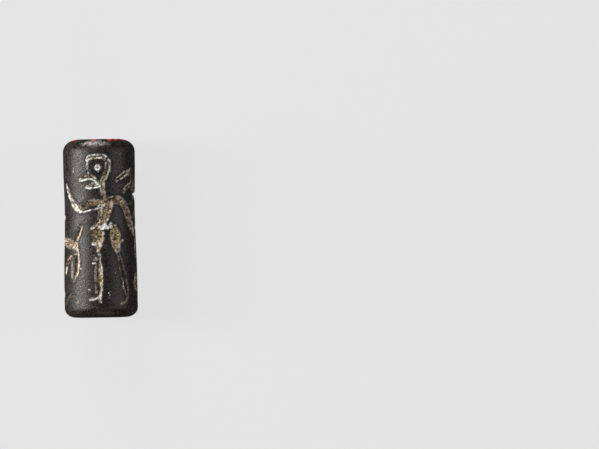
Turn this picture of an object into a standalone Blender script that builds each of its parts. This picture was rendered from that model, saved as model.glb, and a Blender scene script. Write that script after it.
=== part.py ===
"""An engraved stone cylinder seal, lying on a small flat spot rubbed into its wall.

Metres, +Z up. The seal lies along Y with its upper end at +Y. The origin is below its middle, on
the surface it rests on. A place on the wall is given in degrees round from the top line of the
lying seal, positive towards +X, and in steps up from the lower end, with 26 steps to the length.
"""
import math

import bmesh
import bpy
from mathutils import Matrix, Vector

# Driving sizes of the stone.
LENGTH = 0.0260
UPPER_DIAMETER = 0.0105
WAIST_DIAMETER = 0.01025
LOWER_DIAMETER = 0.0107
UPPER_ROUNDING_ACROSS = 0.0022
UPPER_ROUNDING_ALONG = 0.0018
LOWER_ROUNDING_ACROSS = 0.0017
LOWER_ROUNDING_ALONG = 0.0014
BORE_DIAMETER = 0.0030
MOUTH_FLARE = 0.0003
MOUTH_DEPTH = 0.0006
FLAT_DEPTH = 0.00008

# Where the waist and the two fullest places lie, as shares of the length.
UPPER_FULL_AT = 0.86
WAIST_AT = 0.61
LOWER_FULL_AT = 0.16

# How finely the stone and the cuts are faceted.
WALL_STEPS = 72
WALL_ROWS = 11
ROUNDING_ROWS = 5
STROKE_SIDES = 8
STROKE_SPACING = 1.1
DIMPLE_SEGMENTS = 14
DIMPLE_RINGS = 8

# The carving is drawn in steps up the length, and its widths and depths are in steps too.
STEPS_UP = 26
STEP = LENGTH / STEPS_UP

BORE_RADIUS = BORE_DIAMETER / 2
MOUTH_RADIUS = BORE_RADIUS + MOUTH_FLARE
REST_RADIUS = min(UPPER_DIAMETER, LOWER_DIAMETER) / 2
AXIS_HEIGHT = REST_RADIUS - FLAT_DEPTH


def clear_scene():
    for thing in list(bpy.data.objects):
        bpy.data.objects.remove(thing, do_unlink=True)


def new_collection(name, parent):
    group = bpy.data.collections.new(name)
    parent.children.link(group)
    return group


# The stone itself.
def ease(share):
    return (1 - math.cos(math.pi * min(max(share, 0), 1))) / 2


def wall_radius(height):
    """The wall is fullest near each end and slimmest at the waist."""
    share = height / LENGTH
    waist = WAIST_DIAMETER / 2
    if share < WAIST_AT:
        full = LOWER_DIAMETER / 2
        return full + (waist - full) * ease((share - LOWER_FULL_AT) / (WAIST_AT - LOWER_FULL_AT))
    full = UPPER_DIAMETER / 2
    return waist + (full - waist) * ease((share - WAIST_AT) / (UPPER_FULL_AT - WAIST_AT))


def rounding(wall, end, across, along):
    """The quarter round from the wall to an end; along is the signed way back from that end."""
    points = []
    for row in range(ROUNDING_ROWS + 1):
        turn = math.pi / 2 * row / ROUNDING_ROWS
        out = wall - across * (1 - math.cos(turn))
        points.append((out, end + along * (1 - math.sin(turn))))
    return points


def stone_profile():
    """Down the outer side from the upper end, then back up the bore."""
    upper_start = LENGTH - UPPER_ROUNDING_ALONG
    lower_start = LOWER_ROUNDING_ALONG
    upper = rounding(wall_radius(upper_start), LENGTH, UPPER_ROUNDING_ACROSS, -UPPER_ROUNDING_ALONG)
    lower = rounding(wall_radius(lower_start), 0, LOWER_ROUNDING_ACROSS, LOWER_ROUNDING_ALONG)
    points = upper[::-1]
    for row in range(1, WALL_ROWS):
        height = upper_start + (lower_start - upper_start) * row / WALL_ROWS
        points.append((wall_radius(height), height))
    points += lower
    points += [(MOUTH_RADIUS, 0), (BORE_RADIUS, MOUTH_DEPTH)]
    points += [(BORE_RADIUS, LENGTH - MOUTH_DEPTH), (MOUTH_RADIUS, LENGTH)]
    return points


def turned_stone(name, group):
    """The profile stands in the XZ plane and is turned about Z, then the stone is laid along Y."""
    profile = stone_profile()
    edges = [(i, (i + 1) % len(profile)) for i in range(len(profile))]
    mesh = bpy.data.meshes.new(name)
    mesh.from_pydata([(out, 0, height - LENGTH / 2) for out, height in profile], edges, [])
    stone = bpy.data.objects.new(name, mesh)
    group.objects.link(stone)
    stone.rotation_euler = (-math.pi / 2, 0, 0)
    stone.location = (0, 0, AXIS_HEIGHT)
    turning = stone.modifiers.new("turning", "SCREW")
    turning.axis = "Z"
    turning.angle = math.tau
    turning.steps = WALL_STEPS
    turning.render_steps = WALL_STEPS
    turning.use_merge_vertices = True
    turning.merge_threshold = 0.000001
    return stone


def dark_stone(name):
    material = bpy.data.materials.new(name)
    material.use_nodes = True
    shader = material.node_tree.nodes["Principled BSDF"]
    shader.inputs["Base Color"].default_value = (0.035, 0.032, 0.030, 1)
    shader.inputs["Roughness"].default_value = 0.45
    shader.inputs["Metallic"].default_value = 0
    return material


# The engraver's cuts. A cutter lies along the wall, sunk in by the depth of its cut.
def on_wall(degrees, rise, lift):
    """The point at a place on the wall, lifted off it."""
    out = wall_radius(rise * STEP) + lift
    turn = math.radians(degrees)
    return Vector((out * math.sin(turn), rise * STEP - LENGTH / 2, AXIS_HEIGHT + out * math.cos(turn)))


def between(values, share):
    """The value at a share of the way along some evenly spread values."""
    place = share * (len(values) - 1)
    first = min(int(place), len(values) - 2)
    return values[first] + (values[first + 1] - values[first]) * (place - first)


def curve_value(a, b, c, d, t):
    """A smooth curve from b to c at t, shaped by its neighbours a and d."""
    return (2 * b + (c - a) * t + (2 * a - 5 * b + 4 * c - d) * t**2 + (3 * b - a - 3 * c + d) * t**3) / 2


def smooth_path(points):
    """A smooth curve through a stroke's own points, which are (degrees, rise)."""
    before = [2 * a - b for a, b in zip(points[0], points[1])]
    after = [2 * a - b for a, b in zip(points[-1], points[-2])]
    guide = [before, *points, after]
    degrees_to_a_step = math.degrees(STEP / (WAIST_DIAMETER / 2))
    path = []
    for i in range(1, len(guide) - 2):
        here, there = guide[i], guide[i + 1]
        reach = math.hypot((there[0] - here[0]) / degrees_to_a_step, there[1] - here[1])
        count = max(1, round(reach / STROKE_SPACING))
        for j in range(count):
            path.append([curve_value(*four, j / count) for four in zip(*guide[i - 1:i + 3])])
    path.append(list(points[-1]))
    return path


def keep_as_cutter(group, name, mesh, matrix):
    cutter = bpy.data.objects.new(name, mesh)
    cutter.matrix_world = matrix
    cutter.hide_render = True
    cutter.display_type = "WIRE"
    group.objects.link(cutter)


def stroke(group, name, widths, points, depth=0.45):
    """A graver's stroke, with its widths along it and its depth as a share of its width."""
    path = smooth_path(points)
    curve = bpy.data.curves.new(name, "CURVE")
    curve.dimensions = "3D"
    curve.bevel_depth = 1
    curve.bevel_resolution = (STROKE_SIDES - 4) // 2
    curve.use_fill_caps = True
    spline = curve.splines.new("POLY")
    spline.points.add(len(path) - 1)
    for i, (degrees, rise) in enumerate(path):
        width = between(widths, i / (len(path) - 1)) * STEP
        sunk = depth * width
        radius = (width**2 / 4 + sunk**2) / (2 * sunk)
        spline.points[i].co = (*on_wall(degrees, rise, radius - sunk), 1)
        spline.points[i].radius = radius
    line = bpy.data.objects.new(name, curve)
    group.objects.link(line)
    bpy.context.view_layer.update()
    seen = line.evaluated_get(bpy.context.evaluated_depsgraph_get())
    mesh = bpy.data.meshes.new_from_object(seen)
    weld_caps(mesh)
    matrix = line.matrix_world.copy()
    bpy.data.objects.remove(line, do_unlink=True)
    keep_as_cutter(group, name, mesh, matrix)


def weld_caps(mesh):
    shell = bmesh.new()
    shell.from_mesh(mesh)
    bmesh.ops.remove_doubles(shell, verts=shell.verts, dist=0.000001)
    bmesh.ops.recalc_face_normals(shell, faces=shell.faces)
    shell.to_mesh(mesh)
    shell.free()


def dimple(group, name, degrees, rise, across, along, depth, lean=0):
    """A drilled or scooped hollow with its full width, height and depth; lean turns it on the wall."""
    sphere_depth = 1.6 * depth * STEP
    lift = sphere_depth - depth * STEP
    at_surface = math.sqrt(1 - (lift / sphere_depth) ** 2)
    shell = bmesh.new()
    bmesh.ops.create_uvsphere(shell, u_segments=DIMPLE_SEGMENTS, v_segments=DIMPLE_RINGS, radius=1)
    half = (across * STEP / 2 / at_surface, along * STEP / 2 / at_surface, sphere_depth, 1)
    mesh = bpy.data.meshes.new(name)
    shell.to_mesh(mesh)
    shell.free()
    matrix = Matrix.Translation(on_wall(degrees, rise, lift))
    matrix @= Matrix.Rotation(math.radians(degrees), 4, "Y")
    matrix @= Matrix.Rotation(math.radians(lean), 4, "Z")
    matrix @= Matrix.Diagonal(half)
    keep_as_cutter(group, name, mesh, matrix)


# A striding man with a bird's head, who looks towards the lower degrees.
def carve_bird_headed_man(group):
    stroke(group, "man_head", (0.2, 0.3, 0.4, 0.5, 0.5, 0.5, 0.5, 0.5, 0.45, 0.45, 0.5, 0.5, 0.55),
           [(-20, 20.9), (-21, 22.0), (-18.5, 23.0), (-11, 23.4), (-2, 23.45), (6, 23.3),
            (11, 22.8), (12.7, 21.9), (10.5, 20.8), (6, 20.0), (5, 19.2), (6.5, 18.2), (8.5, 16.9)], 0.42)
    dimple(group, "man_eye", -3, 21.85, 1.05, 1.0, 0.3)
    stroke(group, "man_upper_beak", (0.2, 0.5, 0.65, 0.55, 0.35),
           [(-35, 19.95), (-27, 20.3), (-19, 20.5), (-10, 20.35), (-2, 19.65)])
    stroke(group, "man_lower_beak", (0.2, 0.5, 0.6, 0.4),
           [(-22, 19.0), (-12, 19.3), (-3, 19.45), (5, 19.45)])
    stroke(group, "man_front_arm", (1.1, 1.25, 1.3, 1.15, 1.0, 0.85, 0.7, 0.5, 0.25),
           [(8, 16.85), (-3, 16.65), (-12, 16.5), (-21, 16.0), (-31, 15.75),
            (-41, 16.05), (-50, 16.8), (-58, 18.0), (-65, 19.4)], 0.36)
    stroke(group, "man_back_arm", (0.75, 1.1, 1.25, 1.3, 1.25, 1.1, 0.95, 0.55),
           [(1, 16.7), (14, 16.95), (26, 17.15), (35, 17.05), (42, 16.4), (48, 15.1), (54, 13.7),
            (61, 12.35)], 0.36)
    stroke(group, "man_chest", (0.45, 0.55, 0.45, 0.35),
           [(0, 16.8), (-1.5, 15.5), (-3.2, 14.1), (-4.5, 13.0)])
    stroke(group, "man_back", (0.8, 1.0, 0.95, 0.6), [(18, 16.9), (14, 15.8), (9, 14.6), (4, 13.3)], 0.4)
    stroke(group, "man_hip", (0.2, 0.35, 0.35), [(-15, 13.0), (-8, 13.5), (2, 13.95)])
    dimple(group, "man_waist", 11, 13.3, 2.1, 0.85, 0.16)
    dimple(group, "man_front_thigh", -4.5, 11.5, 1.65, 3.7, 0.42)
    dimple(group, "man_back_thigh", 26, 11.4, 1.55, 3.8, 0.34, -4)
    stroke(group, "man_front_shin", (0.35, 0.75, 1.0, 1.05, 0.85, 0.5),
           [(-3, 9.3), (-4.5, 8.0), (-4.5, 6.6), (-4, 5.2), (-4.5, 4.0), (-4, 2.95)], 0.4)
    stroke(group, "man_front_foot", (0.35, 0.35, 0.2), [(-2.5, 3.3), (-11, 2.85), (-20, 2.45)])
    stroke(group, "man_front_heel", (0.35, 0.2), [(-4.2, 3.6), (-1.5, 2.15)])
    stroke(group, "man_back_shin", (0.45, 0.75, 0.85, 0.9, 0.55),
           [(32.5, 9.2), (35.5, 7.9), (38.5, 6.5), (41.5, 5.1), (44, 3.6)], 0.4)
    stroke(group, "man_back_foot", (0.35, 0.35, 0.2), [(44, 2.75), (38, 2.4), (31, 2.0)])


# A small horned animal in front of the man, with a mark like a bent rod below it.
def carve_small_animal(group):
    stroke(group, "small_horn_and_body", (0.2, 0.5, 0.75, 0.95, 1.05, 1.15, 1.25, 1.15, 0.8, 0.3),
           [(-31, 13.2), (-37, 12.4), (-42, 11.75), (-46, 11.0), (-46.5, 10.1), (-45, 9.2),
            (-44.5, 8.2), (-45.5, 7.1), (-48, 6.1), (-52, 5.3)], 0.32)
    stroke(group, "small_crescent", (0.35, 0.8, 1.0, 1.15, 0.9),
           [(-88, 10.8), (-79, 11.1), (-70, 11.15), (-60, 10.85), (-47, 10.3)], 0.36)
    stroke(group, "small_leg", (0.45, 0.65, 0.75, 0.75, 0.4),
           [(-49, 9.3), (-57, 9.1), (-64, 8.5), (-70, 7.65), (-75, 6.9)])
    stroke(group, "bent_rod", (0.2, 0.3, 0.3, 0.3, 0.2),
           [(-72, 2.1), (-62, 2.7), (-50, 3.35), (-43, 2.65), (-36, 1.7)])


# A large horned animal, which looks towards the higher degrees and wraps round the underside.
def carve_large_animal(group):
    stroke(group, "near_horn_and_brow", (0.25, 0.5, 0.65, 0.6, 0.45, 0.5, 0.5, 0.35),
           [(-150, 20.9), (-146, 19.8), (-141, 18.8), (-135, 18.05), (-128, 17.9),
            (-121, 18.3), (-112, 18.2), (-105, 17.5)])
    stroke(group, "far_horn", (0.2, 0.4, 0.45, 0.4, 0.2),
           [(-96, 22.8), (-93, 21.7), (-91.5, 20.4), (-92.5, 19.0), (-95.5, 17.7)])
    dimple(group, "eye", -117, 16.2, 0.6, 0.6, 0.18)
    stroke(group, "jaw_and_muzzle", (0.3, 0.55, 0.6, 0.8, 1.05, 1.1, 0.95, 0.75, 0.95, 0.95, 0.45),
           [(-155, 16.2), (-148, 15.8), (-141, 15.5), (-135, 14.8), (-128, 14.4), (-119, 14.3),
            (-110, 14.45), (-103, 14.75), (-95, 14.65), (-86, 14.6), (-77.4, 14.75)], 0.38)
    stroke(group, "trunk", (1.3, 2.1, 2.3, 2.2, 2.1, 1.5),
           [(-130, 12.1), (-140, 11.85), (-151, 11.5), (-162, 11.5), (-173, 12.0), (-183, 12.7)], 0.24)
    dimple(group, "shoulder", -134, 12.4, 1.8, 3.0, 0.42)
    dimple(group, "rump", 173, 12.8, 2.6, 2.2, 0.45)
    stroke(group, "straight_foreleg", (0.5, 0.7, 0.75, 0.75, 0.7, 0.5),
           [(-129, 12.0), (-125, 10.6), (-119, 9.2), (-112, 7.7), (-104, 5.9), (-96, 4.0)])
    dimple(group, "straight_hoof", -88.5, 3.4, 1.6, 1.15, 0.34)
    stroke(group, "bent_foreleg", (0.3, 0.7, 0.95, 1.1, 1.05, 0.9, 0.7, 0.3),
           [(-122.5, 10.0), (-129, 8.7), (-134, 7.3), (-135.5, 5.8), (-135, 4.2), (-132, 2.9),
            (-127, 2.15), (-120, 1.95)], 0.36)
    dimple(group, "stud_at_knee", -147, 8.1, 1.05, 1.0, 0.3)
    dimple(group, "near_thigh", -178, 9.4, 1.35, 2.4, 0.4)
    stroke(group, "near_shank", (0.5, 0.8, 0.8, 0.4),
           [(-181, 7.7), (-179, 6.1), (-176.5, 4.2), (-174, 2.1)])
    stroke(group, "near_hoof", (0.35, 0.35, 0.2), [(-176.5, 2.5), (-167, 2.15), (-159, 1.8)])
    stroke(group, "far_thigh", (0.8, 1.0, 1.3, 1.35, 1.15, 0.95, 0.85, 0.7, 0.45),
           [(183, 12.3), (170, 11.1), (158, 10.3), (149, 9.75), (140, 9.2), (132, 8.4),
            (126, 7.4), (120.5, 6.3), (114.5, 4.3)], 0.36)
    stroke(group, "far_hock", (0.4, 0.5, 0.45, 0.2), [(139, 9.0), (133, 9.45), (127, 9.55), (120, 9.45)])
    dimple(group, "far_hoof", 116, 4.2, 1.8, 0.9, 0.28)
    dimple(group, "stud_under_belly", 151, 7.9, 1.05, 1.15, 0.13)
    stroke(group, "tail", (0.2, 0.4, 0.45, 0.6, 0.35),
           [(158, 15.2), (150, 14.6), (141, 13.55), (132, 12.7), (120, 11.45)])


# A smaller bird-headed figure with a forked arm and a comb of feathers.
def carve_small_bird_figure(group):
    stroke(group, "bird_head", (0.18, 0.3, 0.35, 0.4, 0.45, 0.5, 0.4),
           [(100, 23.7), (94, 23.1), (88, 22.1), (86, 21.0), (88.5, 19.9), (93, 18.9), (97, 18.0)])
    stroke(group, "bird_beak", (0.2, 0.3, 0.35, 0.25),
           [(122, 21.6), (113, 20.75), (102, 20.35), (88, 20.0)])
    dimple(group, "bird_eye", 105.6, 21.9, 0.4, 0.35, 0.12)
    stroke(group, "bird_front_arm", (0.8, 1.1, 1.0, 0.95, 0.85, 0.8, 0.5),
           [(99, 18.1), (88, 17.95), (79, 17.95), (71, 18.4), (66.5, 19.4), (63.5, 20.5),
            (61, 21.6)], 0.42)
    stroke(group, "bird_upper_fork", (0.4, 0.5, 0.6, 0.65, 0.5, 0.2),
           [(64, 21.1), (55, 21.2), (46, 21.0), (39, 20.7), (33, 20.2), (28, 19.75)])
    stroke(group, "bird_lower_fork", (0.45, 0.5, 0.45, 0.2),
           [(66, 19.35), (56, 19.2), (48, 18.85), (42.5, 18.45)])
    stroke(group, "bird_upper_rib", (0.4, 0.5, 0.45, 0.2),
           [(84, 17.85), (74, 17.2), (66, 16.75), (59, 16.3)])
    stroke(group, "bird_lower_rib", (0.4, 0.4, 0.4, 0.2),
           [(90, 15.65), (82, 15.45), (75, 15.0), (69, 14.5)])
    stroke(group, "bird_back_arm", (0.6, 0.9, 0.95, 0.95, 0.8, 0.25),
           [(92, 17.95), (101, 18.1), (110, 18.25), (119, 18.55), (128, 19.05), (138, 19.8)], 0.4)
    stroke(group, "bird_first_feather", (0.45, 0.5, 0.45, 0.2),
           [(107, 18.2), (113, 17.0), (118, 16.15), (122, 15.5)])
    stroke(group, "bird_second_feather", (0.4, 0.5, 0.45, 0.2),
           [(126, 18.95), (131, 17.8), (135, 16.9), (139, 16.2)])
    stroke(group, "bird_third_feather", (0.35, 0.6, 0.65, 0.3),
           [(145, 20.3), (147.5, 19.3), (151.5, 18.1), (157, 16.9)])
    stroke(group, "bird_trunk", (0.9, 0.9, 0.75, 0.5),
           [(91.5, 17.9), (90.5, 16.5), (90, 15.2), (90, 13.9)], 0.34)
    stroke(group, "bird_seat", (0.35, 0.7, 1.0, 0.85, 0.3),
           [(82, 12.6), (88, 13.05), (97, 13.35), (106, 13.3), (114, 12.8)], 0.4)
    stroke(group, "bird_streamer", (0.25, 0.35, 0.3, 0.25, 0.18),
           [(88, 13.0), (81, 12.1), (77.5, 11.0), (76, 9.9), (76.5, 8.8)])


# Two drilled globes in the spaces between the figures.
def carve_globes(group):
    dimple(group, "upper_globe", -176, 19.9, 1.95, 2.05, 0.55)
    dimple(group, "lower_globe", 78, 5.1, 2.1, 2.5, 0.6)


def rest_flat(group):
    """A block whose top is the floor's height, which leaves the small flat spot it lies on."""
    bpy.ops.mesh.primitive_cube_add(size=1)
    block = bpy.context.object
    block.name = "rest_flat"
    block.scale = (LOWER_DIAMETER, 2 * LENGTH, LOWER_DIAMETER)
    block.location = (0, 0, -LOWER_DIAMETER / 2)
    for old in list(block.users_collection):
        old.objects.unlink(block)
    block.hide_render = True
    block.display_type = "WIRE"
    group.objects.link(block)


def cut_with(stone, group):
    """One exact cut with every cutter of a group."""
    cut = stone.modifiers.new(group.name, "BOOLEAN")
    cut.operation = "DIFFERENCE"
    cut.operand_type = "COLLECTION"
    cut.collection = group
    cut.solver = "EXACT"


clear_scene()
all_groups = bpy.context.scene.collection
seal_group = new_collection("cylinder_seal", all_groups)
cutters = new_collection("cutters", all_groups)
carvings = (
    ("man_cutters", carve_bird_headed_man),
    ("small_animal_cutters", carve_small_animal),
    ("large_animal_cutters", carve_large_animal),
    ("small_bird_cutters", carve_small_bird_figure),
    ("globe_cutters", carve_globes),
    ("rest_cutters", rest_flat),
)
for name, carve in carvings:
    carve(new_collection(name, cutters))
seal = turned_stone("seal", seal_group)
seal.data.materials.append(dark_stone("dark_stone"))
for group in cutters.children:
    cut_with(seal, group)
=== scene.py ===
import itertools
import math

import bpy
import numpy as np
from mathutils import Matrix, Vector


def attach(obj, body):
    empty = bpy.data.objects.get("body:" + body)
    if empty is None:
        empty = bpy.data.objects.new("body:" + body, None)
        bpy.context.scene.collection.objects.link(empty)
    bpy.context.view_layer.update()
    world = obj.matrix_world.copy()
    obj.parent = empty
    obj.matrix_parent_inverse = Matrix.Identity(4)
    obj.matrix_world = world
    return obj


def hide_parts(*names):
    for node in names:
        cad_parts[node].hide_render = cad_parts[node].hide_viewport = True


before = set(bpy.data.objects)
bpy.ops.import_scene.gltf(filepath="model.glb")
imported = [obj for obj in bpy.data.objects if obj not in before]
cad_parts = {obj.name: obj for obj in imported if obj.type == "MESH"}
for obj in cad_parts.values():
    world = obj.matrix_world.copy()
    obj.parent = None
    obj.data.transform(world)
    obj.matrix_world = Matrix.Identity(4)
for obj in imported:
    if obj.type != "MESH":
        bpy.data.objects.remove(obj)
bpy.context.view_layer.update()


# The stone. A small cylinder of dark, fine-grained stone, ground and rubbed to a soft polish, with
# rounded rims and a bore drilled through from end to end. It is fullest near its ends and slimmest
# at the waist. It lies along Y on a small flat spot. Sizes here are in mm.
LENGTH = 26.0
UPPER_RADIUS = 5.25
WAIST_RADIUS = 5.125
LOWER_RADIUS = 5.35
AXIS_HEIGHT = 5.17
TAPER_START = 0.16  # up from the lower end, as a share of the length, like the next three
LOWER_TAPER = 0.45
WAIST = 0.61
UPPER_TAPER = 0.25
UPPER_RIM = (2.2, 1.8)  # across and along
LOWER_RIM = (1.7, 1.4)
BORE_RADIUS = 1.5
MOUTH_RADIUS = 1.8
MOUTH_DEPTH = 0.6
PLAIN_RING = 0.3  # left unmarked round the bore's mouths
COLUMNS = 330
WALL_ROWS = 240
RIM_ROWS = 11
END_ROWS = 8
MOUTH_ROWS = 2
BORE_ROWS = 9


def ease(share):
    """A soft change from 0 to 1."""
    return (1 - math.cos(math.pi * min(max(share, 0), 1))) / 2


def wall_radius(rise):
    """The plain wall's radius at a height above the lower end."""
    share = rise / LENGTH
    if share < WAIST:
        slimmed = ease((share - TAPER_START) / LOWER_TAPER)
        return LOWER_RADIUS + (WAIST_RADIUS - LOWER_RADIUS) * slimmed
    return WAIST_RADIUS + (UPPER_RADIUS - WAIST_RADIUS) * ease((share - WAIST) / UPPER_TAPER)


def rim_rows(end, back, size):
    """A quarter round from the wall to an end; back points from the end into the stone."""
    across, along = size
    wall = wall_radius(end + back * along)
    rows = []
    for i in range(1, RIM_ROWS + 1):
        turn = math.pi / 2 * i / RIM_ROWS
        inward = across * (1 - math.cos(turn))
        from_end = back * along * (1 - math.sin(turn))
        rows.append((wall - inward, end + from_end))
    return rows


def line_rows(start, stop, count):
    """Rows on a straight line, without its first point."""
    shares = [(i + 1) / count for i in range(count)]
    return [tuple(a + (b - a) * share for a, b in zip(start, stop)) for share in shares]


def stone_rows():
    """Up the wall, over the upper rim, down the bore and round the lower rim, as (radius, rise)."""
    low, high = LOWER_RIM[1], LENGTH - UPPER_RIM[1]
    rows = [(wall_radius(rise), rise) for rise in np.linspace(low, high, WALL_ROWS)]
    rows += rim_rows(LENGTH, -1, UPPER_RIM)
    rows += line_rows(rows[-1], (MOUTH_RADIUS, LENGTH), END_ROWS)
    rows += line_rows(rows[-1], (BORE_RADIUS, LENGTH - MOUTH_DEPTH), MOUTH_ROWS)
    rows += line_rows(rows[-1], (BORE_RADIUS, MOUTH_DEPTH), BORE_ROWS)
    rows += line_rows(rows[-1], (MOUTH_RADIUS, 0), MOUTH_ROWS)
    lower_rim = rim_rows(0, 1, LOWER_RIM)[::-1]
    rows += line_rows(rows[-1], lower_rim[0], END_ROWS)
    return rows + lower_rim[1:]


profile = np.array(stone_rows())
ahead, behind = np.roll(profile, -1, axis=0), np.roll(profile, 1, axis=0)
slope = ahead - behind
slope /= np.linalg.norm(slope, axis=1, keepdims=True)
outward = np.stack([slope[:, 1], -slope[:, 0]], axis=1)
degrees = np.arange(COLUMNS) * 360 / COLUMNS - 180
turn = np.radians(degrees)
DEGREES, RISE = np.meshgrid(degrees, profile[:, 1])
RADIUS = np.repeat(profile[:, :1], COLUMNS, axis=1)
on_outside = RADIUS > MOUTH_RADIUS + PLAIN_RING
places = np.stack([RADIUS * np.sin(turn), RISE, RADIUS * np.cos(turn)], axis=-1)


def grain(size, seed):
    """Smooth random values from -1 to 1 over the stone, in lumps of a given size in mm.

    Large primes scramble the corners of each cell into values, and the same seed gives the same.
    """
    cell = np.floor(places / size).astype(np.int64)
    part = places / size - cell
    part = part * part * (3 - 2 * part)
    total = np.zeros(DEGREES.shape)
    for corner in itertools.product((0, 1), repeat=3):
        x, y, z = np.moveaxis(cell + corner, -1, 0)
        mixed = (x * 73856093) ^ (y * 19349663) ^ (z * 83492791) ^ (seed * 49979687)
        mixed = ((mixed ^ (mixed >> 13)) * 1274126177) & 0x7FFFFFFF
        value = ((mixed ^ (mixed >> 16)) & 0xFFFF) / 0x7FFF - 1
        share = np.prod(np.where(corner, part, 1 - part), axis=-1)
        total += share * value
    return total


# The engraving. It was cut with gravers and a drill, so each stroke is a round-bottomed groove with
# ragged lips. Pale earth has stayed in the deep places, and the lips are bruised to a whitish grey.
# A place on the wall is (degrees round from the top line, mm up from the lower end).
MEAN_RADIUS = 5.2
MM_TO_A_DEGREE = math.radians(MEAN_RADIUS)
STROKE_STEP = 0.3
RAGGED = 0.05
STROKE_LIP = 0.1
DIMPLE_LIP = 0.12
MARKS_REACH = 0.6  # how far the marks round a cut go beyond it
SOIL_EDGE, SOIL_FADE = 0.03, 0.14
LIP_PLACE = 0.02
DARK_RING, DARK_RING_WIDTH = 0.26, 0.16


def raggedness(seed):
    """How far a cut's edge wanders, in mm."""
    return RAGGED * (grain(0.5, seed) + 0.9 * grain(0.2, seed + 1))


stroke_degrees = DEGREES + raggedness(1) / MM_TO_A_DEGREE
stroke_rise = RISE + raggedness(3)
cut, earth, bruise, shade = np.zeros((4, *DEGREES.shape))
patches = grain(0.6, 5) + 0.7 * grain(0.28, 6)
flecks = grain(0.34, 7) + 0.7 * grain(0.18, 8)


def between(values, share):
    """The values at shares of the way along some evenly spread values."""
    return np.interp(np.asarray(share) * (len(values) - 1), range(len(values)), values)


def curve_value(a, b, c, d, t):
    """A smooth curve from b to c at t, shaped by its neighbours a and d."""
    square = 2 * a - 5 * b + 4 * c - d
    cube = 3 * b - a - 3 * c + d
    return (2 * b + (c - a) * t + square * t**2 + cube * t**3) / 2


def smooth_path(points):
    """A smooth curve through a stroke's own points."""
    points = np.array(points, float)
    guide = np.vstack([2 * points[0] - points[1], points, 2 * points[-1] - points[-2]])
    path = []
    for i in range(1, len(guide) - 2):
        reach = np.hypot(*((guide[i + 1] - guide[i]) * (MM_TO_A_DEGREE, 1)))
        count = max(1, round(reach / STROKE_STEP))
        for j in range(count):
            path.append(curve_value(*guide[i - 1:i + 3], j / count))
    path.append(points[-1])
    return np.array(path)


def around(degrees_off):
    """The shorter way round, from -180 to 180 degrees."""
    return (degrees_off + 180) % 360 - 180


def leave_marks(where, depth, edge, soil, lips, rust, lip_width):
    """Sinks the wall at some places; edge is how far outside the cut's lip each place lies.

    Soil lies in patches inside the cut, rust and bruises in flecks on its lip, and a thin dark
    ring of painted shade lies round it.
    """
    cut[where] = np.maximum(cut[where], depth)
    inside = np.clip((SOIL_EDGE - edge) / SOIL_FADE, 0, 1)
    filled = inside * np.clip(0.45 + 0.9 * patches[where] + 0.5 * soil, 0, 1) * soil
    on_lip = np.exp(-((edge - LIP_PLACE) / lip_width) ** 2)
    stained = on_lip * np.clip(0.6 + 0.8 * flecks[where], 0, 1) * rust
    earth[where] = np.maximum(earth[where], np.maximum(filled, stained))
    # A ring of painted shade round the cut, darker round deeper cuts.
    ring = np.exp(-((edge - DARK_RING) / DARK_RING_WIDTH) ** 2) * np.clip(3 * depth.max(), 0, 0.9)
    shade[where] = np.maximum(shade[where], ring * np.clip(0.8 + 0.7 * flecks[where], 0, 1))
    chipped = on_lip * np.clip(0.25 + 1.3 * flecks[where] + 0.6 * lips, 0, 1) * lips
    bruise[where] = np.maximum(bruise[where], chipped)


def stroke(widths, points, depth=0.45, soil=(0.5, 0.5), lips=(0.4, 0.4), rust=(0.2, 0.2)):
    """A graver's stroke with a round bottom, whose depth is a share of its width.

    The pairs are for its left and right side, seen along the stroke. Where they differ, the paler
    side is partly real bruising and earth and partly painted highlight on a wall that faces the
    light beyond the upper end, and the darker side is partly painted shade.
    """
    path = smooth_path(points)
    middle = (path[:, 0].min() + path[:, 0].max()) / 2
    away = around(stroke_degrees - middle)
    margin = max(widths) / 2 + MARKS_REACH
    half_span = (path[:, 0].max() - path[:, 0].min()) / 2 + margin / MM_TO_A_DEGREE
    where = (np.abs(away) < half_span) & on_outside
    where &= (stroke_rise > path[:, 1].min() - margin) & (stroke_rise < path[:, 1].max() + margin)
    x, y = away[where] * MM_TO_A_DEGREE, stroke_rise[where]
    path = (path - (middle, 0)) * (MM_TO_A_DEGREE, 1)
    nearest = np.full(x.shape, LENGTH)
    share, side = np.zeros((2, *x.shape))
    for i, ((ax, ay), (bx, by)) in enumerate(zip(path, path[1:])):
        dx, dy = bx - ax, by - ay
        t = np.clip(((x - ax) * dx + (y - ay) * dy) / (dx * dx + dy * dy), 0, 1)
        off_x, off_y = x - ax - t * dx, y - ay - t * dy
        distance = np.hypot(off_x, off_y)
        closer = distance < nearest
        nearest[closer] = distance[closer]
        share[closer] = (i + t[closer]) / (len(path) - 1)
        side[closer] = (dx * off_y - dy * off_x)[closer] / math.hypot(dx, dy)
    half = between(widths, share) / 2
    sunk = 2 * depth * half
    round_radius = (half**2 + sunk**2) / (2 * sunk)
    within = np.minimum(nearest, half)
    depth_here = np.sqrt(round_radius**2 - within**2) - round_radius + sunk
    leftness = np.clip(0.5 + side / half, 0, 1)
    sides = [pair[1] + (pair[0] - pair[1]) * leftness for pair in (soil, lips, rust)]
    leave_marks(where, np.maximum(depth_here, 0), nearest - half, *sides, STROKE_LIP)


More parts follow.
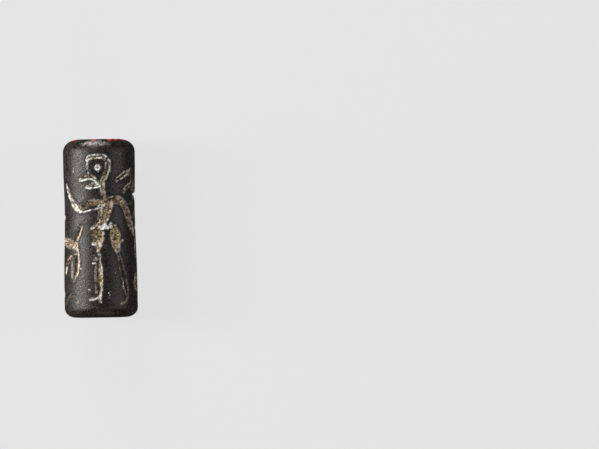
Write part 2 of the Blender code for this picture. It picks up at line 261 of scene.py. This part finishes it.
def dimple(at_degrees, rise, across, along, depth, soil=0.5, lips=0.4):
    """A drilled or scooped hollow with its full width, height and depth."""
    away = around(stroke_degrees - at_degrees)
    reach = max(across, along) / 2 + MARKS_REACH
    where = (np.abs(away) * MM_TO_A_DEGREE < reach) & (np.abs(stroke_rise - rise) < reach)
    where &= on_outside
    x, y = away[where] * MM_TO_A_DEGREE, stroke_rise[where] - rise
    out = np.hypot(x / (across / 2), y / (along / 2))
    depth_here = depth * np.clip(1 - out**2, 0, 1) ** 0.75
    edge = (out - 1) * min(across, along) / 2
    leave_marks(where, depth_here, edge, soil, lips, 0.0, DIMPLE_LIP)


def chip(at_degrees, rise, across, along, lean=0, white=0.9, clay=0.0, depth=0.05):
    """A bruised or chipped spot with a ragged outline."""
    x = around(DEGREES - at_degrees) * MM_TO_A_DEGREE
    y = RISE - rise
    c, s = math.cos(math.radians(lean)), math.sin(math.radians(lean))
    x, y = c * x + s * y, c * y - s * x
    out = np.hypot(x / (across / 2), y / (along / 2))
    inside = np.clip(2.2 - 2 * out + 0.8 * flecks, 0, 1) * on_outside
    np.maximum(bruise, inside * white, out=bruise)
    np.maximum(earth, inside * clay, out=earth)
    np.maximum(cut, inside * depth * np.clip(0.6 + patches, 0, 1.5), out=cut)


# The striding man with a bird's head, on the side that faces up. The head is an outline round a
# drilled eye, and each limb is one broad stroke of the graver from the shoulders or the waist.
stroke((0.2, 0.38, 0.42, 0.42, 0.45, 0.5),
       [(-17, 22.95), (-14.2, 23.33), (-6.1, 23.42), (1.9, 23.47), (8.2, 23.43), (13, 23.04)],
       0.42, soil=(0.0, 0.3), lips=(1.2, 0.65), rust=(0.0, 1.2))
stroke((0.5, 0.6, 0.62, 0.6, 0.6, 0.55),
       [(12.5, 23.1), (15.4, 22.61), (16, 22.02), (14.8, 21.44), (11.9, 20.72), (8.1, 20.0)],
       0.42, soil=(0.5, 0.7), lips=(0.9, 0.4), rust=(0.2, 0.8))
stroke((0.5, 0.55, 0.5, 0.5, 0.5),
       [(9.5, 20.3), (7.3, 19.7), (6.2, 19.2), (6.8, 18.5), (9.4, 17.6)],
       0.42, soil=(0.9, 0.8), lips=(0.5, 0.9), rust=(0.2, 0.3))
stroke((0.08, 0.08, 0.08), [(1.5, 19.1), (5, 18.7), (8, 18.1)], soil=(0, 0), lips=(0.5, 0.5))
chip(13.7, 22.55, 0.5, 0.45, white=0.55, depth=0)
stroke((0.06, 0.06, 0.06, 0.06, 0.06),
       [(-15.5, 23.1), (-17.2, 22.65), (-18.3, 22.08), (-18.2, 21.49), (-16.3, 20.91)],
       soil=(0, 0), lips=(0.65, 0.65))
chip(-3.0, 23.2, 1.75, 0.14, white=0.7, clay=1.0, depth=0)
dimple(-0.6, 21.85, 0.6, 0.56, 0.14, soil=0.1, lips=1.6)
chip(0.2, 21.87, 0.3, 0.26, white=0.4, depth=0)
stroke((0.15, 0.4, 0.45, 0.42, 0.35, 0.2),
       [(-31.7, 20.02), (-23.4, 20.3), (-16.5, 20.42), (-9.9, 20.33), (-5.1, 20.02), (-0.4, 19.51)],
       soil=(0.15, 0.0), lips=(0.4, 1.7), rust=(1.3, 0.2))
stroke((0.2, 0.3, 0.3, 0.25), [(-19, 18.98), (-10.2, 19.03), (-3.7, 19.12), (1.9, 19.2)],
       soil=(0.3, 0.0), lips=(0.4, 1.7), rust=(1.2, 0.2))
stroke((0.1, 0.1, 0.1), [(-13.4, 19.41), (-8.5, 19.59), (-3.6, 19.73)], lips=(0.5, 0.5))
stroke((0.08, 0.08), [(-24, 18.65), (-19, 19.05)], lips=(0.5, 0.5))
stroke((0.2, 0.4, 0.5, 0.6, 0.8, 0.8),
       [(-64.6, 19.3), (-59.8, 18.58), (-54.8, 17.77), (-47.7, 16.89), (-40, 16.15), (-34, 15.85)],
       0.36, soil=(0.35, 0.9), lips=(0.35, 1.1), rust=(0.1, 0.9))
stroke((0.8, 1.0, 1.15, 1.35, 1.3, 1.1),
       [(-40, 16.15), (-33, 15.85), (-25, 16.0), (-16, 16.3), (-8, 16.5), (3, 16.5)],
       0.36, soil=(0.75, 0.0), lips=(0.4, 1.1), rust=(0.1, 0.0))
chip(-40.5, 16.05, 0.4, 1.9, 44, white=0.9, depth=0)
chip(-10, 17.0, 0.9, 0.2, -5, white=0.5, depth=0)
stroke((0.6, 0.8, 1.0, 0.95, 1.0, 0.8),
       [(3, 16.3), (12.1, 16.8), (20.5, 17.0), (31.2, 17.1), (38.9, 16.85), (46, 16.2)],
       0.36, soil=(1.1, 0.4), lips=(0.7, 0.3), rust=(0.4, 0.3))
stroke((0.85, 1.0, 1.05, 1.1, 1.0, 0.45),
       [(39, 16.9), (47.5, 16.15), (52.9, 15.16), (59.2, 14.14), (66, 12.97), (71.5, 12.2)],
       0.36, soil=(0.65, 0.8), lips=(0.7, 0.4), rust=(0.2, 1.2))
stroke((0.4, 0.5, 0.45, 0.35),
       [(3.8, 16.5), (3, 15.66), (2.2, 14.93), (0.8, 14.3)],
       soil=(1.1, 1.1), lips=(0.2, 0.3), rust=(0.5, 0.6))
stroke((0.35, 0.3, 0.1), [(0.8, 14.3), (-5.6, 13.45), (-13.6, 12.9)],
       soil=(0.3, 0.3), lips=(0.05, 0.1), rust=(1.0, 1.1))
stroke((0.75, 1.0, 0.95, 0.8, 0.65),
       [(19.5, 16.5), (15.0, 15.5), (12.0, 14.8), (8.3, 14.05), (6.2, 13.4)],
       0.4, soil=(1.3, 1.1), lips=(0.6, 0.3), rust=(0.6, 0.4))
chip(21.0, 16.2, 0.75, 0.4, -30, white=1.0, depth=0)
chip(10.8, 15.05, 0.5, 2.4, -18, white=0.15, clay=1.3, depth=0)
chip(5.8, 13.25, 1.0, 0.85, white=1.2)
chip(12.0, 13.15, 0.9, 0.7, white=1.0, clay=0.5)
chip(19.7, 13.3, 0.6, 1.05, white=1.0)
stroke((0.9, 1.75, 1.7, 1.4, 0.85, 0.25),
       [(-2.6, 13.0), (-2.4, 12.3), (-2.2, 11.5), (-2.0, 10.8), (-1.8, 10.2), (-3.1, 9.55)],
       0.24, soil=(0.85, 0.75), lips=(0.35, 0.1), rust=(0.4, 0.2))
chip(0.6, 10.55, 0.35, 1.1, 8, white=0.5, clay=0.9, depth=0)
chip(-3.0, 9.75, 0.3, 0.5, white=1.0)
chip(-8.6, 10.8, 0.7, 0.45, white=1.0)
stroke((1.0, 1.5, 1.6, 1.45, 1.15, 0.5),
       [(26.5, 12.95), (27, 12.2), (27.5, 11.4), (28.8, 10.6), (29.7, 10.0), (29.8, 9.55)],
       0.24, soil=(1.0, 1.1), lips=(0.45, 0.4), rust=(0.3, 0.3))
chip(39.8, 11.2, 0.4, 0.4, white=0.7, clay=0.6)
chip(27.0, 9.75, 0.5, 0.4, white=0.8)
stroke((0.15, 0.5, 0.85, 0.95, 0.9, 0.8, 0.45),
       [(-0.2, 9.3), (-0.9, 8.3), (-1.5, 6.95), (-1.6, 5.8), (-1.5, 4.6), (-1.7, 3.8), (-2.3, 3.0)],
       0.42, soil=(0.9, 0.0), lips=(0.55, 0.4), rust=(0.5, 0.5))
chip(-1.6, 6.2, 0.16, 2.9, white=0, clay=0.75, depth=0)
chip(-4.0, 3.9, 0.22, 0.9, white=0.1, clay=1.0, depth=0)
chip(-4.9, 6.0, 0.16, 3.6, white=0, clay=0.8, depth=0)
stroke((0.2, 0.22, 0.2, 0.1), [(-0.6, 3.25), (-6.0, 2.98), (-11.5, 2.75), (-15.5, 2.68)],
       soil=(0.3, 0.1), lips=(0.9, 0.35), rust=(0.4, 0.3))
stroke((0.14, 0.08), [(0.7, 3.2), (1.1, 2.25)], soil=(0, 0), lips=(0.9, 0.9))
chip(1.0, 2.7, 0.18, 0.85, white=1.0, depth=0)
stroke((0.25, 0.6, 0.75, 0.8, 0.7, 0.6, 0.3),
       [(31.1, 9.3), (34.7, 8.06), (38.1, 6.89), (41.7, 5.72), (44.4, 4.55), (46.4, 3.68),
        (47.3, 2.95)],
       0.4, soil=(0.1, 0.3), lips=(0.4, 0.1), rust=(0.1, 0.9))
chip(32.6, 8.5, 0.2, 1.6, 14, white=0.3, clay=0.9, depth=0)
chip(39.7, 4.7, 0.42, 1.3, -8, white=0.0, clay=1.5, depth=0)
stroke((0.12, 0.14, 0.08), [(47, 2.85), (41.8, 2.25), (34, 1.98)],
       lips=(0.15, 0.15), rust=(0.8, 0.8))

# The small horned animal in front of the man, with a mark like a bent rod below it. Its horns,
# chest and foreleg are one long curved cut, and its body and hind leg are shorter ones.
stroke((0.15, 0.45, 0.75, 0.85, 0.75, 0.8, 0.9, 0.95, 0.8, 0.25),
       [(-29, 13.38), (-33.3, 12.65), (-39, 11.94), (-43, 11.25), (-42.8, 10.49), (-40.6, 9.61),
        (-39.6, 8.74), (-39.6, 7.72), (-41.5, 6.71), (-46, 5.4)],
       0.36, soil=(1.4, 0.2), lips=(0.5, 0.15), rust=(1.2, 0.1))
stroke((0.5, 0.9, 1.2, 1.35, 1.2, 0.8),
       [(-88, 11.1), (-79, 11.2), (-71.8, 11.15), (-59.2, 10.9), (-50.4, 10.65), (-42, 10.3)],
       0.34, soil=(0.7, 0.8), lips=(0.2, 0.4), rust=(0.8, 0.3))
chip(-37.6, 8.0, 0.35, 3.4, -2, white=0.45, clay=1.1, depth=0)
chip(-41, 6.2, 0.25, 1.6, -22, white=0.4, clay=1.1, depth=0)
chip(-34.5, 12.2, 0.2, 2.2, -33, white=0.35, clay=1.1, depth=0)
chip(-50.5, 10.2, 0.45, 0.4, white=1.0)
chip(-67, 11.45, 0.4, 0.25, white=0.6, clay=0.5)
stroke((0.4, 0.45, 0.5, 0.6, 0.5, 0.2),
       [(-40.8, 9.1), (-48.9, 8.85), (-55.6, 8.46), (-63.1, 7.88), (-66.5, 7.01), (-69, 6.3)],
       soil=(0.1, 0.5), lips=(0.1, 0.6), rust=(0.1, 1.4))
stroke((0.15, 0.2, 0.1), [(-49.3, 8.2), (-50, 7.0), (-49.5, 5.8)],
       soil=(0.1, 0.1), lips=(0.2, 0.25))
chip(-31.8, 7.21, 0.3, 0.25, white=0.4, clay=0.7)
stroke((0.2, 0.3, 0.3, 0.3, 0.2),
       [(-72, 2.1), (-62, 2.7), (-50, 3.35), (-43, 2.65), (-36, 1.7)],
       soil=(0.2, 0.2), lips=(0.1, 0.1))

# The large horned animal, which wraps round the underside. Its haunches are deep scooped hollows,
# joined by broad strokes of the graver for the body, the neck and the legs.
stroke((0.25, 0.5, 0.65, 0.6, 0.45, 0.5, 0.5, 0.35),
       [(-150, 20.9), (-146, 19.8), (-141, 18.8), (-135, 18.05), (-128, 17.9),
        (-121, 18.3), (-112, 18.2), (-105, 17.5)])
stroke((0.2, 0.4, 0.45, 0.4, 0.2),
       [(-96, 22.8), (-93, 21.7), (-91.5, 20.4), (-92.5, 19.0), (-95.5, 17.7)])
dimple(-117, 16.2, 0.6, 0.6, 0.18)
stroke((0.3, 0.55, 0.6, 0.8, 1.05, 1.1, 0.95, 0.75, 0.9, 0.7, 0.3),
       [(-155, 16.2), (-148, 15.8), (-141, 15.5), (-135, 14.8), (-128, 14.4), (-119, 14.3),
        (-110, 14.45), (-103, 14.75), (-95, 14.65), (-86, 14.6), (-77.4, 14.75)], 0.38)
stroke((1.3, 2.1, 2.3, 2.2, 2.1, 1.5),
       [(-130, 12.1), (-140, 11.85), (-151, 11.5), (-162, 11.5), (-173, 12.0), (-183, 12.7)], 0.24)
dimple(-134, 12.4, 1.8, 3.0, 0.42)
dimple(173, 12.8, 2.6, 2.2, 0.45)
stroke((0.5, 0.7, 0.75, 0.75, 0.7, 0.5),
       [(-129, 12.0), (-125, 10.6), (-119, 9.2), (-112, 7.7), (-104, 5.9), (-96, 4.0)])
dimple(-88.5, 3.4, 1.6, 1.15, 0.34)
stroke((0.3, 0.7, 0.95, 1.1, 1.05, 0.9, 0.7, 0.3),
       [(-122.5, 10.0), (-129, 8.7), (-134, 7.3), (-135.5, 5.8), (-135, 4.2), (-132, 2.9),
        (-127, 2.15), (-120, 1.95)], 0.36)
dimple(-147, 8.1, 1.05, 1.0, 0.3)
dimple(-178, 9.4, 1.35, 2.4, 0.4)
stroke((0.5, 0.8, 0.8, 0.4), [(-181, 7.7), (-179, 6.1), (-176.5, 4.2), (-174, 2.1)])
stroke((0.35, 0.35, 0.2), [(-176.5, 2.5), (-167, 2.15), (-159, 1.8)])
stroke((0.8, 1.0, 1.3, 1.35, 1.15, 0.95, 0.85, 0.7, 0.45),
       [(183, 12.3), (170, 11.1), (158, 10.3), (149, 9.75), (140, 9.2), (132, 8.4),
        (126, 7.4), (120.5, 6.3), (114.5, 4.3)], 0.36)
stroke((0.4, 0.5, 0.45, 0.2), [(139, 9.0), (133, 9.45), (127, 9.55), (120, 9.45)])
dimple(116, 4.2, 1.8, 0.9, 0.28)
dimple(151, 7.9, 1.05, 1.15, 0.13)
stroke((0.2, 0.4, 0.45, 0.6, 0.35),
       [(158, 15.2), (150, 14.6), (141, 13.55), (132, 12.7), (120, 11.45)])

# The smaller bird-headed figure, with a forked arm and a comb of feathers. It is cut more finely
# than the man, with thin strokes for the beak and the feathers.
stroke((0.06, 0.06, 0.06, 0.06), [(60.7, 21.6), (64.6, 20.7), (66.8, 19.7), (66.1, 18.8)],
       soil=(0, 0), lips=(1.4, 1.4))
stroke((0.18, 0.3, 0.35, 0.4, 0.45, 0.5, 0.4),
       [(100, 23.7), (94, 23.1), (88, 22.1), (86, 21.0), (88.5, 19.9), (93, 18.9), (97, 18.0)])
stroke((0.2, 0.3, 0.35, 0.25), [(122, 21.6), (113, 20.75), (102, 20.35), (88, 20.0)])
dimple(105.6, 21.9, 0.4, 0.35, 0.12)
stroke((0.8, 1.25, 1.1, 0.95, 0.85, 0.8, 0.5),
       [(99, 17.9), (91, 17.52), (80, 17.65), (73, 18.3), (69, 19.3), (66, 20.4), (63, 21.5)],
       0.42, soil=(0.2, 0.2), lips=(0.5, 0.2))
stroke((0.25, 0.5, 0.6, 0.55, 0.45),
       [(30, 19.95), (37, 20.35), (45.3, 20.75), (53, 21.05), (62, 21.15)],
       soil=(1.1, 0.0), lips=(0.6, 1.1), rust=(1.6, 0.1))
chip(46.5, 21.2, 0.35, 0.3, white=0.1, clay=1.0, depth=0)
stroke((0.2, 0.4, 0.45, 0.4), [(43.5, 18.25), (47.8, 18.65), (53.5, 19.0), (64, 19.35)],
       soil=(0.8, 0.0), lips=(0.6, 0.5), rust=(1.6, 0.1))
chip(48, 18.6, 0.3, 0.35, white=0.5, clay=0.6, depth=0)
stroke((0.4, 0.5, 0.45, 0.2), [(84, 17.85), (74, 17.2), (66, 16.75), (59, 16.3)],
       soil=(0.2, 0.2), lips=(0.2, 0.2))
stroke((0.4, 0.4, 0.4, 0.2), [(90, 15.65), (82, 15.45), (75, 15.0), (69, 14.5)],
       soil=(0.2, 0.2), lips=(0.2, 0.2))
stroke((0.6, 0.9, 0.95, 0.95, 0.8, 0.25),
       [(92, 17.95), (101, 18.1), (110, 18.25), (119, 18.55), (128, 19.05), (138, 19.8)], 0.4)
stroke((0.45, 0.5, 0.45, 0.2), [(107, 18.2), (113, 17.0), (118, 16.15), (122, 15.5)])
stroke((0.4, 0.5, 0.45, 0.2), [(126, 18.95), (131, 17.8), (135, 16.9), (139, 16.2)])
stroke((0.35, 0.6, 0.65, 0.3), [(145, 20.3), (147.5, 19.3), (151.5, 18.1), (157, 16.9)])
stroke((0.9, 0.9, 0.75, 0.5), [(91.5, 17.9), (90.5, 16.5), (90, 15.2), (90, 13.9)], 0.34)
stroke((0.35, 0.7, 1.0, 0.85, 0.3),
       [(82, 12.6), (88, 13.05), (97, 13.35), (106, 13.3), (114, 12.8)], 0.4)
stroke((0.25, 0.35, 0.3, 0.25, 0.18),
       [(88, 13.0), (81, 12.1), (77.5, 11.0), (76, 9.9), (76.5, 8.8)])

# Two drilled globes in the spaces between the figures. Each is one round hollow, left by the broad
# tip of a drill that was held still.
dimple(-176, 19.9, 1.95, 2.05, 0.55)
dimple(78, 5.1, 2.1, 2.5, 0.6, soil=0.7, lips=0.3)

# Small chips and specks on the plain wall, which come from handling and burial and show paler
# than the polish, and a pale painted highlight along the upper rim.
# A painted highlight: a pale band on the upper rim, where the light beyond the upper end catches
# it.
chip(-4.5, 25.42, 4.3, 0.75, white=0.38, depth=0)
chip(-8.8, 7.95, 0.6, 0.22, -12, white=0.9)
dimple(-8.6, 8.7, 0.5, 0.5, 0.04, soil=0.1, lips=0.3)
chip(-17.4, 4.14, 0.35, 0.22, white=0.12, clay=0.9)
chip(-43.8, 21.75, 0.2, 0.28, white=0.5, clay=0.5)
chip(-44, 21.34, 0.2, 0.28, white=0.5, clay=0.5)
chip(13.6, 3.6, 0.14, 0.2, white=0.6)
chip(15.6, 3.3, 0.16, 0.18, white=0.55)
chip(14.5, 2.9, 0.12, 0.16, white=0.5)
chip(16.8, 3.8, 0.12, 0.14, white=0.5)
chip(25.3, 6.47, 0.22, 0.2, white=0.5)
chip(18.5, 21.9, 0.12, 0.6, 35, white=0.6)
chip(-38, 2.6, 0.25, 1.2, 30, white=0.2)
chip(19.5, 21.2, 0.3, 0.2, white=0.3)

# The wear. The cut walls are rough from the graver, and the plain wall has soft dents, pits and
# specks under its polish, all a hair below the first surface. The stone's skin is then closed row
# by row round the axis, and flattened where it rests.
ROUGH_BELOW = 0.25
WEAR_SHARE = 0.8
PITS_ABOVE, PIT_DEPTH = 0.62, 0.12
SPECKS_ABOVE, SPECK_FADE, SPECK_WHITE = 0.88, 0.08, 0.45
HAIR = 0.012
rough_walls = np.clip(cut / ROUGH_BELOW, 0, 1)
wear = 0.012 * grain(3.1, 11) + 0.008 * grain(1.3, 12) + 0.004 * grain(0.35, 13)
wear += rough_walls * (0.028 * grain(0.36, 14) + 0.012 * grain(0.24, 15))
pits = np.clip(grain(0.33, 16) - PITS_ABOVE, 0, 1) * PIT_DEPTH
specks = np.clip((grain(0.21, 17) - SPECKS_ABOVE) / SPECK_FADE, 0, 1)
specks *= np.clip(3 * grain(1.7, 18), 0, 1)
bruise = np.maximum(bruise, SPECK_WHITE * specks * on_outside)
sunk = np.where(on_outside, cut + wear * WEAR_SHARE + pits + HAIR, 0)
radius = RADIUS - sunk * outward[:, :1]
rise = RISE - sunk * outward[:, 1:]
height = np.maximum(AXIS_HEIGHT + radius * np.cos(turn), 0)
corners = np.stack([radius * np.sin(turn), rise - LENGTH / 2, height], axis=-1)
corners = corners.reshape(-1, 3) / 1000
rows = len(profile)
row, column = np.meshgrid(np.arange(rows), np.arange(COLUMNS), indexing="ij")
next_row, next_column = (row + 1) % rows, (column + 1) % COLUMNS
quads = np.stack([row * COLUMNS + column, row * COLUMNS + next_column,
                  next_row * COLUMNS + next_column, next_row * COLUMNS + column], axis=-1)
mesh = bpy.data.meshes.new("seal_stone")
mesh.from_pydata(corners.tolist(), [], quads.reshape(-1, 4).tolist())
mesh.shade_smooth()
seal = bpy.data.objects.new("seal_stone", mesh)
bpy.context.scene.collection.objects.link(seal)

# Red paint on the upper end: a few upright brush strokes, whose tips show over the rim. Each stroke
# has its distance to the right of the middle, its width and the height of its foot, in mm.
PAINT_STROKES = [(-3.45, 0.5, -0.7), (-0.65, 0.55, 2.0), (1.7, 0.55, 1.4), (2.5, 0.4, 0.8),
                 (3.65, 0.6, -0.4)]
OVER_THE_RIM = 0.17
FOOT_FADE = 0.15
paint = np.zeros(DEGREES.shape)
on_end = (RISE > LENGTH - OVER_THE_RIM) & on_outside
across_end = RADIUS * np.sin(turn) + 0.1 * grain(0.9, 22)
up_end = RADIUS * np.cos(turn) + 0.15 * grain(0.4, 23)
for middle, wide, foot in PAINT_STROKES:
    inside = np.clip(1.5 - np.abs(across_end - middle) / wide * 2, 0, 1)
    paint = np.maximum(paint, on_end * inside * np.clip((up_end - foot) / FOOT_FADE, 0, 1))
paint *= np.clip(1 + 0.7 * grain(0.3, 21), 0, 1)

# The finish. The stone is almost black with a fine grey-brown grain, rubbed to a satin polish and
# dull where it is cut. Over it lie the marks: earth in red, bruises in green, paint in blue, and in
# alpha painted shade, strongest in the deepest cuts and in the thin rings round them.
# Painted shade in the cuts, full where a cut is this deep in mm, and in the rings round them.
DARK_BELOW = 0.3
painted_shade = np.maximum(np.clip(cut / DARK_BELOW, 0, 1), shade)
marks = mesh.attributes.new("marks", "FLOAT_COLOR", "POINT")
values = np.stack([earth, bruise, paint, painted_shade], axis=-1).reshape(-1)
marks.data.foreach_set("color", values.astype(np.float32))

stone = bpy.data.materials.new("dark_stone")
stone.use_nodes = True
nodes, links = stone.node_tree.nodes, stone.node_tree.links
shader = nodes["Principled BSDF"]
coordinates = nodes.new("ShaderNodeTexCoord")


def noise(scale, detail, roughness=0.5):
    """Stone grain, with lumps of about 1000 / scale mm."""
    node = nodes.new("ShaderNodeTexNoise")
    node.inputs["Scale"].default_value = scale
    node.inputs["Detail"].default_value = detail
    node.inputs["Roughness"].default_value = roughness
    links.new(coordinates.outputs["Object"], node.inputs["Vector"])
    return node.outputs["Fac"]


def grey(value):
    """The same value for red, green and blue."""
    return (value, value, value)


def ramp(source, stops):
    """Colours or greys spread over a value."""
    node = nodes.new("ShaderNodeValToRGB")
    while len(node.color_ramp.elements) < len(stops):
        node.color_ramp.elements.new(0.5)
    for element, (place, colour) in zip(node.color_ramp.elements, stops):
        element.position = place
        element.color = (*colour, 1)
    links.new(source, node.inputs["Fac"])
    return node.outputs["Color"]


def blend(share, first, second):
    """Second over first, by a share."""
    node = nodes.new("ShaderNodeMix")
    node.data_type = "RGBA"
    links.new(share, node.inputs["Factor"])
    links.new(first, node.inputs["A"])
    links.new(second, node.inputs["B"])
    return node.outputs["Result"]


def product(first, second):
    """One share of another."""
    node = nodes.new("ShaderNodeMath")
    node.operation = "MULTIPLY"
    node.use_clamp = True
    links.new(first, node.inputs[0])
    links.new(second, node.inputs[1])
    return node.outputs["Value"]


marks_node = nodes.new("ShaderNodeAttribute")
marks_node.attribute_name = "marks"
split = nodes.new("ShaderNodeSeparateColor")
links.new(marks_node.outputs["Color"], split.inputs["Color"])
fine = noise(4600, 3, 0.68)
ground = ramp(fine, [(0.38, (0.004, 0.0035, 0.0031)), (0.49, (0.0095, 0.0085, 0.0074)),
                     (0.58, (0.029, 0.0252, 0.0216)), (0.68, (0.072, 0.062, 0.052))])
worn = ramp(fine, [(0.36, (0.007, 0.006, 0.0052)), (0.66, (0.045, 0.038, 0.032))])
worn_patches = ramp(noise(420, 4, 0.62), [(0.46, grey(0)), (0.6, grey(1))])
ground = blend(worn_patches, ground, worn)
clay = ramp(noise(4600, 3), [(0.36, (0.08, 0.06, 0.04)), (0.46, (0.21, 0.135, 0.062)),
                             (0.55, (0.57, 0.36, 0.135)), (0.65, (0.86, 0.71, 0.48))])
chalk = ramp(noise(3000, 3), [(0.36, (0.40, 0.37, 0.33)), (0.52, (0.95, 0.93, 0.89))])
red = ramp(noise(1500, 2), [(0.3, (0.7, 0.02, 0.005)), (0.7, (0.95, 0.06, 0.015))])
crumbs = ramp(noise(2600, 3), [(0.36, grey(0.25)), (0.5, grey(1))])
earth_share = product(split.outputs["Red"], crumbs)
nicks = ramp(noise(4200, 3), [(0.36, grey(0.2)), (0.5, grey(1))])
bruise_share = product(split.outputs["Green"], nicks)
# Painted shade: a near-black colour that the alpha of the marks lays over the grain.
painted_shade_colour = ramp(noise(3000, 2), [(0.35, (0.003, 0.0026, 0.0022)), (0.65, (0.02, 0.017, 0.014))])
colour = blend(marks_node.outputs["Alpha"], ground, painted_shade_colour)
chalky = ramp(noise(2100, 3), [(0.52, grey(0)), (0.63, grey(0.6))])
colour = blend(earth_share, colour, blend(chalky, clay, chalk))
colour = blend(bruise_share, colour, chalk)
colour = blend(split.outputs["Blue"], colour, red)
links.new(colour, shader.inputs["Base Color"])
satin = ramp(fine, [(0.38, grey(0.2)), (0.6, grey(0.48))])
dull = ramp(fine, [(0.3, grey(0.7)), (0.7, grey(0.9))])
links.new(blend(marks_node.outputs["Alpha"], satin, dull), shader.inputs["Roughness"])
bump = nodes.new("ShaderNodeBump")
bump.inputs["Strength"].default_value = 1.0
bump.inputs["Distance"].default_value = 0.00005
links.new(noise(4400, 3, 0.65), bump.inputs["Height"])
links.new(bump.outputs["Normal"], shader.inputs["Normal"])
shader.inputs["IOR"].default_value = 1.33
shader.inputs["Specular Tint"].default_value = (1.0, 0.95, 0.9, 1)
mesh.materials.append(stone)
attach(seal, "root")
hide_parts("seal")


# The stand. A plain pale floor with an even glow of its own, so that the seal's shadow on it stays
# faint. The polish doesn't mirror it. Sizes from here on are in metres, unless their names say mm.
FLOOR_HALF = 6.0
FLOOR_GREY = 0.06
FLOOR_GLOW = 0.715
floor_mesh = bpy.data.meshes.new("floor")
floor_corners = [(-FLOOR_HALF, -FLOOR_HALF, 0), (FLOOR_HALF, -FLOOR_HALF, 0),
                 (FLOOR_HALF, FLOOR_HALF, 0), (-FLOOR_HALF, FLOOR_HALF, 0)]
floor_mesh.from_pydata(floor_corners, [], [(0, 1, 2, 3)])
floor = bpy.data.objects.new("floor", floor_mesh)
bpy.context.scene.collection.objects.link(floor)
pale = bpy.data.materials.new("pale_floor")
pale.use_nodes = True
pale_shader = pale.node_tree.nodes["Principled BSDF"]
pale_shader.inputs["Base Color"].default_value = (*grey(FLOOR_GREY), 1)
pale_shader.inputs["Roughness"].default_value = 0.9
pale_shader.inputs["Specular IOR Level"].default_value = 0.0
pale_shader.inputs["Emission Color"].default_value = (1, 1, 1, 1)
pale_shader.inputs["Emission Strength"].default_value = FLOOR_GLOW
floor_mesh.materials.append(pale)
floor.visible_glossy = False

# The light. Six softboxes stand in a ring round the seal. The strongest is on the left, the key
# light is beyond the upper end, and four weak ones fill in. The room itself is almost dark.
LIGHT_DISTANCE = 1.2
ROOM_LIGHT = 0.035
world = bpy.data.worlds.new("studio")
world.use_nodes = True
world.node_tree.nodes["Background"].inputs["Color"].default_value = (1, 1, 1, 1)
world.node_tree.nodes["Background"].inputs["Strength"].default_value = ROOM_LIGHT
bpy.context.scene.world = world
bpy.context.scene.view_settings.view_transform = "Standard"


def softbox(name, towards, width, height, power):
    """A large soft light that faces the seal."""
    light = bpy.data.lights.new(name, "AREA")
    light.shape = "RECTANGLE"
    light.size = width
    light.size_y = height
    light.energy = power
    lamp = bpy.data.objects.new(name, light)
    direction = Vector(towards).normalized()
    lamp.location = direction * LIGHT_DISTANCE
    lamp.rotation_euler = direction.to_track_quat("Z", "Y").to_euler()
    bpy.context.scene.collection.objects.link(lamp)


softbox("rim_light", (-0.24, 0.95, 0.05), 0.42, 0.10, 2.6)
softbox("key_light", (-0.30, 0.80, 0.52), 0.42, 0.3, 6)
softbox("left_light", (-0.90, 0.10, 0.43), 0.22, 0.9, 20.5)
softbox("low_left_light", (-0.97, -0.1, 0.10), 0.2, 0.8, 2.6)
softbox("front_light", (0.1, -0.95, 0.35), 0.6, 0.3, 2.5)
softbox("right_light", (0.87, 0.1, 0.49), 0.2, 0.9, 4.5)

# The camera. It hangs straight over the floor and looks down with a long lens. It is turned a
# little, so that the seal leans in the picture, and stands aside, so that the seal is on the left.
MM_TO_A_PIXEL = 0.1459
IMAGE_WIDTH = 599
SEAL_TO_IMAGE_CENTRE = (199.45, 3.8)  # in pixels
LEAN = 0.0164
SENSOR_WIDTH = 36
CAMERA_DISTANCE = 1
camera_data = bpy.data.cameras.new("camera")
camera = bpy.data.objects.new("camera", camera_data)
camera_data.sensor_width = SENSOR_WIDTH
camera_data.lens = SENSOR_WIDTH * CAMERA_DISTANCE * 1000 / (MM_TO_A_PIXEL * IMAGE_WIDTH)
camera_data.clip_start = 0.1
camera_data.clip_end = 30
right = Vector((math.cos(LEAN), -math.sin(LEAN), 0))
up = Vector((math.sin(LEAN), math.cos(LEAN), 0))
aside = right * SEAL_TO_IMAGE_CENTRE[0] + up * SEAL_TO_IMAGE_CENTRE[1]
above = Vector((0, 0, CAMERA_DISTANCE + AXIS_HEIGHT / 1000))
camera.location = aside * (MM_TO_A_PIXEL / 1000) + above
camera.rotation_euler = (0, 0, -LEAN)
bpy.context.scene.collection.objects.link(camera)
bpy.context.scene.camera = camera
